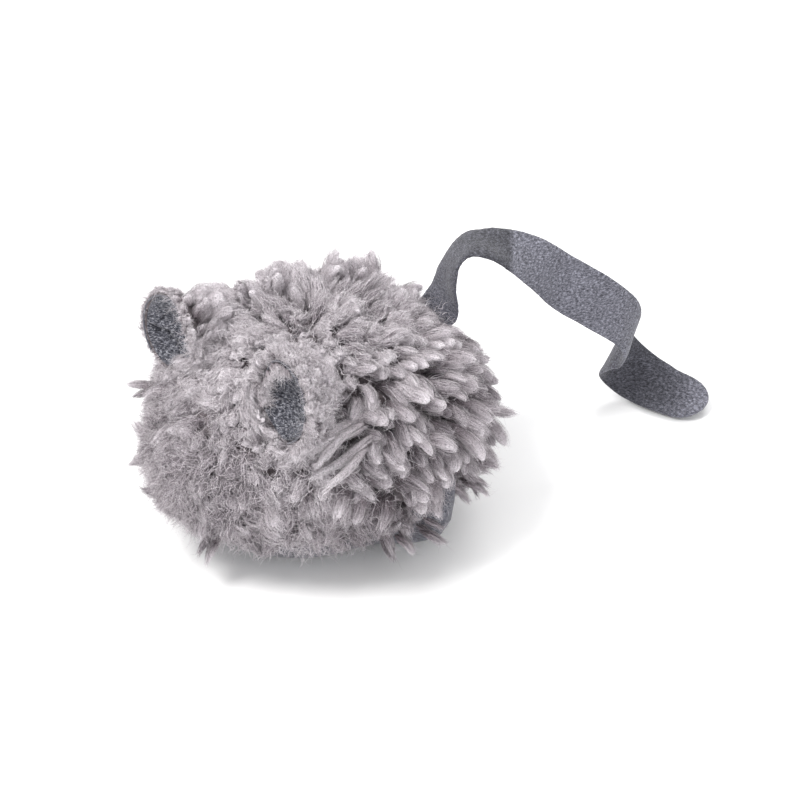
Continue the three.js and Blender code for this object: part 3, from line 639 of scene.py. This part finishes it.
def pile_layer(gap, tries, over, sway, patch, tuft):
    """Locks over the whole body: the long ones that show, or the low dense ones under them."""
    points, normals = scattered(gap, tries)
    x, y, z = np.abs(points[:, 0]), points[:, 1], points[:, 2]
    patch, tuft = patch(points), tuft(points)
    # Parts of the body, from 0 to 1: its underside, the gaps between tufts, the cottony head and
    # crown, the locks that hang at the rear, the wavy crest, the hairy flanks, the muzzle
    under = 1 - smooth(z, 9, 24)
    low = smooth(from_tufts(points), .2 * TUFT_REACH, TUFT_REACH)
    cotton = np.maximum(smooth(-y, 10, 27), smooth(z - .22 * x, 47, 56)) * (1 - .5 * under)
    head = near(points, (-2, -26, 52), (16, 13, 14))
    fingers = smooth(x, 10, 28) * smooth(y, -18, -4) * smooth(z, 20, 32) * (1 - cotton)
    crest = np.maximum(near(points, (-14, 4, 60), (7, 8, 8)), near(points, (-6, 22, 57), (10, 9, 8)))
    hairy = near(np.stack([x, y, z], -1), (36, -8, 20), (14, 22, 12))
    face = smooth(-y, 28, 40) * (1 - smooth(z, 44, 52))
    crease = np.exp(-(beside(points, (6, -46, 34.5), (25, -36, 33.5)) / 2.2) ** 2)

    away = unit(points - CROWN) * [1, .75, 1] + [0, .1, -.35]
    away[:, 2] += .3 * under
    flow = unit(away - dot(away, normals) * normals) + .8 * np.stack([w(points) for w in sway], -1)
    flow = rng.normal(flow, .34)
    hang = smooth(x, 12, 28) * smooth(y, -16, 0) * smooth(z, 20, 32) * (1 - .5 * smooth(y, 26, 38))
    down = np.stack([.3 * np.sign(points[:, 0]), y * 0 - .3, y * 0 - 1.9], -1)
    flow = flow + down * hang[:, None]

    # Each lock's shade: the patches are the pile's own colour, and the rest is painted light and shade:
    # lighter on the cottony head and crown, darker in the gaps between tufts, on the hairy lower
    # flanks, on the muzzle and in the crease.
    shade = .42 + .13 * patch + .24 * cotton + .12 * head - .06 * low - .42 * hairy - .36 * face
    # The long hanging locks are painted lighter and the low ones under them darker, as painted light on
    # the tips and painted shade between them.
    shade = shade + .12 * fingers if over else shade - .22 * fingers
    shade = shade - .3 * crease + .05 * head
    rise = 20 + 8 * tuft + 12 * low - 12 * crest
    lay = 68 + 12 * tuft + 12 * low + 8 * head - 34 * crest - 8 * fingers + 12 * under
    length = 11.6 - 2.2 * low - 3.2 * cotton - 1.0 * head + 3.4 * crest + .6 * fingers
    length = (length * (1 - .1 * under) - 2.0 * hairy) * (1 + .1 * tuft) * (1 - .35 * crease)
    width = 3.5 + .4 * patch + .8 * cotton + .4 * fingers - .6 * crest - .4 * hairy
    thick = .55 + .1 * cotton + .3 * fingers
    blunt = .75 + .3 * fingers + .2 * cotton - .3 * crest - .5 * hairy
    fuzz = .12 + .24 * cotton + .12 * hairy
    # Raising pale lifts the painted shade at the roots, as painted light on the cottony parts and the
    # top; lowering it deepens the painted shade on the hairy flanks.
    pale = .34 * cotton - .5 * hairy + .2 * smooth(z, 48, 56)
    # The low locks under the long ones get a darker shade, as painted shade.
    if not over:
        length, width, shade = length * .64, width * .85, shade - .1
    locks = Locks(points - normals * PILE, normals, flow, length, width, rise, lay, 32, thick, blunt,
                  shade, 26, fuzz, pale)
    thinned = rng.uniform(size=len(points)) > .28 * fingers
    return locks.where(clear_of_ears(locks) & clear_of_felt(locks) & thinned)


def body_pile(material):
    """The body's pile in ten pieces on each side, from the head to the rump."""
    wanders = [Wander(13), Wander(13), Wander(13)], Wander(20), Wander(8)
    over = pile_layer(3.05, 20000, True, *wanders)
    soft = over.fuzz > .22
    # Locks, with the strands and the loose hairs for each, and the core's share of its width
    layers = [(over.where(soft), 92, 16, .62), (over.where(~soft), 96, 12, .78),
              (pile_layer(3.2, 16000, False, *wanders), 24, 4, .88), (sweep(), 260, 30, .12),
              (spikes(), 90, 12, .45), (crest_tufts(), 80, 16, .6)]
    edges = [-99, -36, -29, -21, -12, -3, 6, 15, 24, 33, 99]
    for side, hand in HANDS.items():
        for k in range(1, len(edges)):
            parts = []
            for locks, strands, frizz, core in layers:
                x, y = locks.root[:, 0] * hand, locks.root[:, 1]
                some = locks.where((x >= 0) & (y >= edges[k - 1]) & (y < edges[k]))
                parts += some.parts(strands, frizz, core)
            pile_object(f"plush_pile_{side}_{k}", "body", parts, material)


def veil(material):
    """Loose curly hairs over the cottony and the hairy parts of the pile."""
    tries, steps, width = 150000, 5, .09
    a, r = rng.uniform(.05, math.pi - .05, tries), rng.uniform(0, TAU, tries)
    points = body_form(a, r, -rng.uniform(.2, 2.4, tries))
    x, y, z = np.abs(points[:, 0]), points[:, 1], points[:, 2]
    cotton = np.maximum(smooth(-y, 8, 24), smooth(z - .22 * x, 46, 54))
    hairy = near(np.stack([x, y, z], -1), (36, -6, 22), (16, 24, 12))
    face = smooth(-y, 28, 40) * (1 - smooth(z, 44, 52))
    wanted = .3 * np.maximum(cotton * (.5 - .25 * face), .6 * hairy) * smooth(z, 4, 12) + .05
    chosen = np.flatnonzero(rng.uniform(size=tries) < wanted)
    # The hairs on the hairy lower flanks and on the muzzle are made darker, as painted shade.
    points, painted_shade_drop = points[chosen], (.5 * hairy + .24 * face)[chosen]
    total, outward = len(points), unit(points - MIDDLE)
    along = unit(rng.normal(size=points.shape) + unit(points - CROWN) * .8)
    along = unit(along - dot(along, outward) * outward + outward * rng.normal(.15, .2, (total, 1)))
    bend = unit(rng.normal(size=points.shape))
    size, rate = rng.uniform(1.6, 4.2, (total, 1, 1)), rng.uniform(3, 8, (total, 1, 1))
    places = curly(points, along, bend, size, steps, rate, bow=.5, swing=.12)
    kept = ~np.any([in_bowl(ear, places, 3, 21, 9.5, -2, 8) for ear in EARS.values()], axis=0)
    places, along, points, painted_shade_drop = (v[kept] for v in (places, along, points, painted_shade_drop))
    total = len(places)
    across = unit(np.cross(along, points - MIDDLE))[:, None] + 0 * places
    shade = np.clip(rng.normal(.66, .22, total) - painted_shade_drop, .01, .98)
    painted_shade_along = rng.uniform(.62, .95, (total, 1)) - .5 * painted_shade_drop[:, None] + np.linspace(0, .05, steps)
    for side, hand in HANDS.items():
        some = points[:, 0] * hand >= 0
        parts = [ribbons(places[some], across[some], width, shade[some], painted_shade_along[some])]
        pile_object(f"plush_veil_{side}", "body", parts, material)


def body_skin(material):
    """The stuffed skin that the pile stands on, closed and flat where it rests."""
    a = np.linspace(0, math.pi, 64)[1:-1]
    places = body_form(a[:, None], spokes_round(96)[None], -PILE)
    lumps = Wander(26)
    places = places + (1.1 * lumps(places))[..., None] * unit(places - MIDDLE) - .6
    seam = np.exp(-(places[..., 0] / 1.6) ** 2) * (places[..., 2] > FULLEST)
    places[..., 2] = np.maximum(places[..., 2] - 1.2 * seam, 2.2)
    ends = body_form(np.array([0, math.pi]), np.zeros(2), -PILE)
    obj = shell("plush_skin", places, ends, material)
    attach(obj, "body")
    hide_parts("plush_side_left", "plush_side_right")


def inner_piece(node, name, material, lump, wave, cuts=1):
    """A lumpy piece in place of a plain one inside the body, on the same surface."""
    mesh = bpy.data.meshes.new(name)
    work = bmesh.new()
    work.from_mesh(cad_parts[node].data)
    bmesh.ops.remove_doubles(work, verts=work.verts, dist=1e-6)
    bmesh.ops.subdivide_edges(work, edges=work.edges, cuts=cuts, use_grid_fill=True)
    work.normal_update()
    lumps = Wander(wave)
    for vertex in work.verts:
        vertex.co += vertex.normal * float(lumps(np.array(vertex.co) / MM) * lump - lump) * MM
    work.to_mesh(mesh)
    work.free()
    obj = placed(name, mesh, material)
    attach(obj, "body")
    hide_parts(node)
    return obj


def insides():
    """The two wads of fibre, and between them the pouch of herb."""
    for end in ("front", "rear"):
        inner_piece(f"filling_{end}", f"fibre_{end}", fibre, .25, 5.0)
    for half in ("upper", "lower"):
        sheet = inner_piece(f"sachet_{half}_sheet", f"pouch_{half}", pouch, .03, 3.0)
    inner_piece("catnip_herb", "herb_flakes", herb, .3, 1.6, 3)


def belly_panel(material):
    """The felt panel under the body, turned up a little at its edge."""
    turn = spokes_round(96)
    cos, sin = np.cos(turn), np.sin(turn)
    share = np.array([.02, .3, .55, .75, .83, .885, .935, .967, .99, 1.0])[:, None]
    height = np.array([.05, .0, .0, .0, .6, 1.9, 3.8, 6.0, 8.2, 10.2])[:, None]
    swell = 1 + .055 * smooth(height, 0, 11)
    x = 27.6 * swell * share * signed_power(cos, 2 / 2.1)
    y = 31.6 * swell * share * signed_power(sin, 2 / 2.1)
    outer = np.stack([x, y, x * 0 + height], -1)
    # On one side the outer rings climb up the body
    turned_up = np.exp(-((turn - .24) / .22) ** 2) + np.exp(-((turn - .24 - TAU) / .22) ** 2)
    height = np.array([3.0, 6.5, 12.0, 18.5, 25.0])[:, None]
    reach = np.array([35.0, 40.0, 42.8, 43.8, 44.0])[:, None]
    climbed = np.stack([reach * cos, reach * sin, turn * 0 + height], -1)
    outer[5:] += (climbed - outer[5:]) * turned_up[:, None]
    inner = outer * [.97, .97, 1] + [0, 0, 1.2]
    rings = np.concatenate([outer, inner[::-1]])
    obj = shell("belly_felt", rings, [[0, 0, .05], [0, 0, 1.25]], material)
    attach(obj, "body")
    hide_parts("belly_panel")


# Ears

def ear_place(ear, share, angle, behind):
    """A place in the ear's layers and the bowl's normal there, as in the source."""
    share, angle, behind = np.broadcast_arrays(share, angle, behind)
    height = EAR_RADIUS * (1 + share * np.sin(angle))
    pleat = EAR_PLEAT + (1 - EAR_PLEAT) * smooth(height, 0, EAR_RADIUS)
    width = EAR_RADIUS * share * np.cos(angle) * pleat
    slope = 2 * EAR_BOWL * share / EAR_RADIUS
    normal = unit(ear.face - ear.across * (slope * np.cos(angle))[..., None]
                  - ear.up * (slope * np.sin(angle))[..., None])
    place = (ear.root + ear.up * (EAR_STEM + height)[..., None] + ear.across * width[..., None]
             + ear.face * (EAR_BOWL * share * share)[..., None])
    return place - normal * behind[..., None], normal


def ear_edge(ear, share, angle, behind, inner=.9):
    """Places near an ear's edge, the normals there, and the ways out from a share further in."""
    place, normal = ear_place(ear, share, angle, behind)
    return place, normal, unit(place - ear_place(ear, inner, angle, behind)[0])


def ear_shell(name, side, front, share, angle, depths, material):
    """One layer of an ear, from its front face and how far behind the bowl its two faces lie."""
    back, _ = ear_place(EARS[side], share[::-1, None], angle, depths[1])
    ends = [ear_place(EARS[side], 0.0, 0.0, depth)[0] for depth in depths]
    obj = shell(name, np.concatenate([front, back]), ends, material)
    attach(obj, f"ear_{side}")
    return obj


def ear_fur(side, name, locks, material, **parts):
    """One object of fur on an ear."""
    pile_object(f"ear_{side}_{name}", f"ear_{side}", locks.parts(**parts), material)


def ear_lining(side, material):
    """The felt in an ear's bowl, with a pleat in the far one."""
    ear, share, angle = EARS[side], np.linspace(.04, 1, 48), spokes_round(180)
    front, normal = ear_place(ear, share[:, None], angle, 0)
    loops = Wander(1.3)
    front = front + normal * (.13 * loops(front))[..., None]
    if side == "right":
        q = front - ear.root
        high, wide = q @ ear.up - EAR_STEM, q @ ear.across
        fold = wide + 4.6 - .25 * (high - 9.1) + .2 * np.sin(high * 1.3)
        crease = np.exp(-(fold / .55) ** 2) * smooth(high, 4, 8)
        puff = np.exp(-((fold - 1.3) / .9) ** 2) + .7 * np.exp(-((fold + 1.5) / .9) ** 2)
        front = front + normal * (.6 * puff * smooth(high, 3, 8) - 1.1 * crease)[..., None]
    obj = ear_shell(f"ear_{side}_felt", side, front, share, angle, (0.0, EAR_FELT), material)
    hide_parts(f"ear_{side}_lining")


def ear_back(side, material):
    """The backing of the plush behind an ear."""
    share, angle, depths = np.linspace(.05, 1.06, 14), spokes_round(48), (EAR_FELT + .3, EAR_FELT + 1.6)
    front, _ = ear_place(EARS[side], share[:, None], angle, depths[0])
    obj = ear_shell(f"ear_{side}_plush", side, front, share, angle, depths, material)
    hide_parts(f"ear_{side}_back")


def ear_pile(side, material):
    """The pile on the back of an ear."""
    ear, count = EARS[side], 150
    share = np.sqrt(rng.uniform(.01, 1.1, count))
    angle = rng.uniform(0, TAU, count)
    root, normal = ear_place(ear, share, angle, EAR_FELT + 1.2)
    if side == "left":
        length, lay = 7.4 - 4.4 * share ** 2, 70
    else:
        high, wide = EAR_RADIUS * (1 + share * np.sin(angle)), EAR_RADIUS * share * np.cos(angle)
        length, lay = 10.0 - 7.6 * share ** 2, 46
        length = length * (1 - .75 * smooth(high, 6, 11) * smooth(wide, -2, 3))
    away = root - (ear.root + ear.up * EAR_STEM)
    locks = Locks(root, -normal, away, length, width=4.2, rise=14, lay=lay, curl=22, thick=.6, blunt=.9,
                  shade=.72, roll=26, fuzz=.32, pale=.2)
    ear_fur(side, "pile", locks, material, strands=90, frizz=16, core=.6)


def ear_rim(side, material):
    """The short fur round an ear's edge, longer at its root."""
    count = 90
    angle = rng.normal(np.linspace(0, TAU, count, endpoint=False), .05)
    share = 1.0 + rng.uniform(-.03, .05, count)
    root, normal, outward = ear_edge(EARS[side], share, angle, EAR_FELT + .9)
    around = np.cross(outward, normal) * rng.normal(0, 1, (count, 1))
    flow = rng.normal(normal * .6 + around, .3)
    shortest, fullest = (1.8, 1.0) if side == "left" else (1.0, .4)
    base = smooth(-np.sin(angle - .35), .05, .6) * fullest
    locks = Locks(root, outward, flow, length=shortest + 4.2 * base, width=1.3 + 1.6 * base, rise=10,
                  lay=62 + 58 * base, curl=30, thick=.4, blunt=.7, shade=.85, roll=50, fuzz=.14,
                  pale=.25)
    ear_fur(side, "rim", locks, material, strands=40, frizz=10, core=.5)


def ear_fringe(side, material):
    """The fur that stands back from an ear's edge, all round the near ear."""
    count, spread, turned = (80, TAU, 0) if side == "left" else (34, .75 * math.pi, -1.6)
    angle = rng.normal(np.linspace(-spread / 2, spread / 2, count), .06) + turned
    share = 1.02 + rng.uniform(-.03, .03, count)
    root, normal, outward = ear_edge(EARS[side], share, angle, EAR_FELT + 1.0)
    around = np.cross(outward, normal) * rng.normal(0, .8, (count, 1))
    flow = rng.normal(around - normal, .3)
    locks = Locks(root, outward, flow, length=3.8, width=2.6, rise=8, lay=48, curl=40, thick=.6,
                  blunt=.7, shade=.75, roll=50, fuzz=.3, pale=.3)
    ear_fur(side, "fringe", locks, material, strands=80, frizz=14, core=.55)


def ear_lobe(material):
    """The rounded flap of plush behind the far ear."""
    count = 22
    turn = rng.normal(np.linspace(.1, 1.1, count), .06)
    share, angle = rng.uniform(.2, .6, count), rng.uniform(-.9, .3, count)
    root, _ = ear_place(EARS["right"], share, angle, EAR_FELT + 1.4)
    raised, level = np.array([.1, .72, .68]), np.array([.35, .93, .1])
    way = unit(rng.normal(raised + (level - raised) * turn[:, None], .1))
    flow = rng.normal([1.0, 0, 0], .5, root.shape)
    locks = Locks(root, way, flow, length=9.8, width=5.4, rise=0, lay=38, curl=8, thick=.85,
                  blunt=1.0, shade=.74, roll=20, fuzz=.45, pale=.25)
    ear_fur("right", "lobe", locks, material, strands=120, frizz=40, core=.9)


def ear_brow(material):
    """The short fur that laps over the near ear's felt from its root side."""
    count = 60
    angle = rng.uniform(.84, 1.66, count) * math.pi
    share = 1.04 + rng.uniform(-.04, .04, count)
    root, normal, outward = ear_edge(EARS["left"], share, angle, .1, inner=.8)
    flow = rng.normal(-outward, .35)
    locks = Locks(root, normal - .2 * outward, flow, length=2.7, width=1.4, rise=34, lay=84, curl=30,
                  thick=.5, blunt=.7, shade=.8, roll=30, fuzz=.2, pale=.3)
    ear_fur("left", "brow", locks, material, strands=50, frizz=10, core=.6)


# Tail

# Its middle line in shares of DRIFT, REACH and ARCH, and the heading and tilt of its width in degrees
STATIONS = np.array([
    [0, -.03, -.13, 0, 0], [0, 0, 0, 0, 0], [0, .045, .27, -15, 5], [0, .064, .56, -28, 6],
    [.01, .09, .83, -34, 7], [.06, .138, 1, -37, 5], [.14, .195, 1, -40, -2],
    [.215, .252, .975, -44, -12], [.345, .356, .89, -58, -29], [.445, .452, .78, -70, -38],
    [.58, .547, .69, -71, -40], [.7, .641, .59, -65, -34], [.715, .684, .525, -63, -32],
    [.68, .717, .455, -64, -33], [.61, .741, .39, -66, -34], [.52, .755, .34, -70, -36],
    [.44, .774, .29, -79, -38], [.385, .807, .235, -89, -39], [.375, .85, .17, -94, -38],
    [.425, .888, .115, -91, -36], [.525, .912, .083, -84, -30], [.64, .928, .07, -80, -24],
    [.78, .952, .06, -78, -19], [1, 1, .048, -76, -6]])
# The heights of the first stations are shares of the way from the root up to the arch
RISING = 5


def through(points, even):
    """A smooth line through points: centripetal, or uniform where even."""
    ends = np.concatenate([2 * points[:1] - points[1:2], points, 2 * points[-1:] - points[-2:-1]])
    t = np.linspace(0, 1, 40, endpoint=False)[:, None]
    out = []
    for i in range(len(points) - 1):
        p0, p1, p2, p3 = ends[i:i + 4]
        if even:
            m1, m2 = .5 * (p2 - p0), .5 * (p3 - p1)
        else:
            d0, d1, d2 = np.maximum(np.linalg.norm(np.diff(ends[i:i + 4], axis=0), axis=1), 1e-6) ** .5
            m1 = d1 * ((p1 - p0) / d0 - (p2 - p0) / (d0 + d1) + (p2 - p1) / d1)
            m2 = d1 * ((p2 - p1) / d1 - (p3 - p1) / (d1 + d2) + (p3 - p2) / d2)
        a = 2 * p1 - 2 * p2 + m1 + m2
        b = -3 * p1 + 3 * p2 - 2 * m1 - m2
        out.append(a * t ** 3 + b * t ** 2 + m1 * t + p1)
    return np.concatenate([*out, points[-1:]])


def tail_line():
    """The tail's middle line, the heading and tilt of its width there, and the length run so far."""
    rises = np.arange(len(STATIONS)) < RISING
    height = ARCH * STATIONS[:, 2]
    height = np.where(rises, TAIL_ROOT[2] + (ARCH - TAIL_ROOT[2]) * STATIONS[:, 2], height)
    places = np.stack([DRIFT * STATIONS[:, 0], TAIL_ROOT[1] + REACH * STATIONS[:, 1], height], -1)
    line = through(places, False)
    run = np.concatenate([[0], np.cumsum(np.linalg.norm(np.diff(line, axis=0), axis=1))])
    return line, np.radians(through(STATIONS[:, 3:], True)), run


def tail_strip(material):
    """The felt strip, with a flat section and a rounded tip."""
    steps, sides = 420, 44
    line, lean, run = tail_line()
    total = run[-1]
    along = np.linspace(0, 1, steps)
    along = (.65 * along + .35 * np.sin(math.pi / 2 * along)) * total
    centre = np.stack([np.interp(along, run, v) for v in line.T], -1)
    heading, tilt = (np.interp(along, run, v) for v in lean.T)
    tangent = unit(np.gradient(centre, axis=0))
    width = np.stack([np.cos(heading) * np.cos(tilt), np.sin(heading) * np.cos(tilt), np.sin(tilt)], -1)
    width = unit(width - dot(width, tangent) * tangent)
    outward = np.cross(width, tangent)[:, None]
    flare = smooth(along, FLARE_START, FLARE_START + FLARE_LENGTH)
    radius = TAIL_WIDTH / 2
    past = np.clip((along - (total - radius)) / radius, 0, 1)
    half = (TAIL_TAB + (TAIL_WIDTH - TAIL_TAB) * flare) / 2
    half = half * np.maximum(np.sqrt(np.maximum(1 - past ** 2.4, 0)), .06)
    thick = .62 * np.minimum(1, half / 1.5)
    theta = spokes_round(sides)
    flat, deep = signed_power(np.cos(theta), .35), signed_power(np.sin(theta), .8)
    places = (centre[:, None] + width[:, None] * (half[:, None] * flat)[..., None]
              + outward * (thick[:, None] * deep)[..., None])
    wobble, grain = Wander(7), Wander(1.1)
    places = places + outward * (.12 * wobble(places))[..., None]
    places = places + outward * (.035 * grain(places) * np.sign(deep))[..., None]
    places[..., 2] = np.maximum(places[..., 2], .2)
    around, up = np.arange(sides + 1) / sides, (along / total)[:, None]
    uvs = np.concatenate([uv_quads(around[:-1], around[1:], up[:-1], up[1:]),
                          np.repeat([[0, 0], [1, 1]], 3 * sides, axis=0)])
    obj = shell("tail_felt", places, centre[[0, -1]], material, uvs)
    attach(obj, "tail")
    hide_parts("tail_strip")


# Camera, floor and light

def aimed(name, data, place, aim):
    """A new camera or light in the scene that looks from its place at its aim."""
    obj = bpy.data.objects.new(name, data)
    obj.location = place
    obj.rotation_euler = (Vector(aim) - Vector(place)).to_track_quat("-Z", "Y").to_euler()
    scene.collection.objects.link(obj)
    return obj


def make_camera():
    data = bpy.data.cameras.new("camera")
    data.lens, data.sensor_width = 100, 36
    data.clip_start, data.clip_end = .01, 20
    scene.camera = aimed("camera", data, (.3745, -.2957, .3421), (.01396, .01776, .03172))


def area_light(name, place, size, power, colour):
    data = bpy.data.lights.new(name, "AREA")
    data.shape, data.size, data.energy, data.color = "DISK", size, power, colour
    aimed(name, data, place, (0, 0, .03))


def make_stage():
    half = 3000
    corners = [(-half, -half, 0), (half, -half, 0), (half, half, 0), (-half, half, 0)]
    floor_paint = paint(new_material("floor_paint", .9), {"Base Color": (.93, .93, .93, 1)})
    mesh_object("floor", corners, [(0, 1, 2, 3)], floor_paint)
    world = bpy.data.worlds.new("studio")
    world.use_nodes = True
    light = world.node_tree.nodes["Background"].inputs
    light["Color"].default_value, light["Strength"].default_value = (1, 1, 1, 1), .9
    scene.world = world
    scene.view_settings.view_transform = "Standard"
    area_light("key", (-.15, -.5, .85), .4, 7.5, (1, .99, .98))
    area_light("fill", (.9, -.3, .45), .7, 2.2, (.97, .98, 1))
    area_light("back", (-.4, .8, .8), .6, 5, (1, 1, 1))


make_camera()
make_stage()
pile = pile_material()
ground = ground_material()
belly_felt = felt_material("belly_felt", (.045, .045, .058), (.155, .155, .185), (.30, .30, .34))
# On the tail, painted shade darkens the rise, the arch and the stretch under the last bend, and painted
# light brightens the falling stretch and the tip.
tail_felt = felt_material("tail_felt", (.04, .04, .052), (.175, .175, .21), (.42, .42, .5), [
    (0, .85), (.1, .85), (.16, .6), (.2, .48), (.262, .46), (.272, 1.1), (.62, 1.05), (.735, .95),
    (.765, .5), (.84, .58), (.92, .8), (1, 1.3)])
lining_felt = felt_material("ear_felt", (.008, .009, .014), (.12, .122, .148), (.72, .72, .78))
thread = thread_material("sewing_thread", (.20, .19, .21), (.42, .40, .43))
slate_thread = thread_material("slate_thread", (.05, .05, .06), (.16, .16, .19))
fibre = stuff_material("polyester_fibre", (.72, .72, .70), (.9, .9, .88), 400)
pouch = stuff_material("pouch_sheet", (.62, .6, .55), (.8, .78, .72), 900)
herb = stuff_material("dried_herb", (.08, .10, .03), (.28, .30, .12), 600)

for name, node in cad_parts.items():
    node.data.materials.clear()
    node.data.materials.append(slate_thread if name.endswith("edge_thread") else thread)

insides()
body_skin(ground)
belly_panel(belly_felt)
body_pile(pile)
veil(pile)
for side in EARS:
    ear_back(side, ground)
    ear_pile(side, pile)
    ear_rim(side, pile)
    ear_fringe(side, pile)
    ear_lining(side, lining_felt)
tail_strip(tail_felt)
ear_lobe(pile)
ear_brow(pile)
